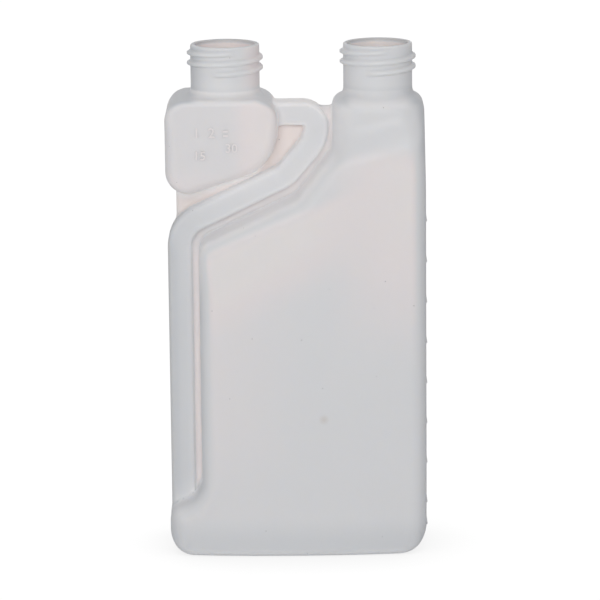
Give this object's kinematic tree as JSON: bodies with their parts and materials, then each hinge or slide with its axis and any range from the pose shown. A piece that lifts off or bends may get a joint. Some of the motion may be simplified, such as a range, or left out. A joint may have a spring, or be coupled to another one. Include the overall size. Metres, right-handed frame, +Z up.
{
  "type": "twin neck dispensing bottle",
  "caption": "Blow-moulded squeeze bottle: a flat reservoir feeds a small dosing chamber through a side tube, and each has its own threaded neck.",
  "frame": {"origin": "bottom centre of the bottle, on the surface it stands on", "axes": "+Z up through the necks, +X towards the filling neck and its tower, +Y to the back; the mould parts on Y = 0"},
  "size_m": [0.0824, 0.037, 0.162],
  "materials": {
    "natural_plastic": "natural translucent high-density polyethylene, satin as blown"
  },
  "bodies": {
    "root": {"bottle": "natural_plastic"}
  },
  "joints": []
}
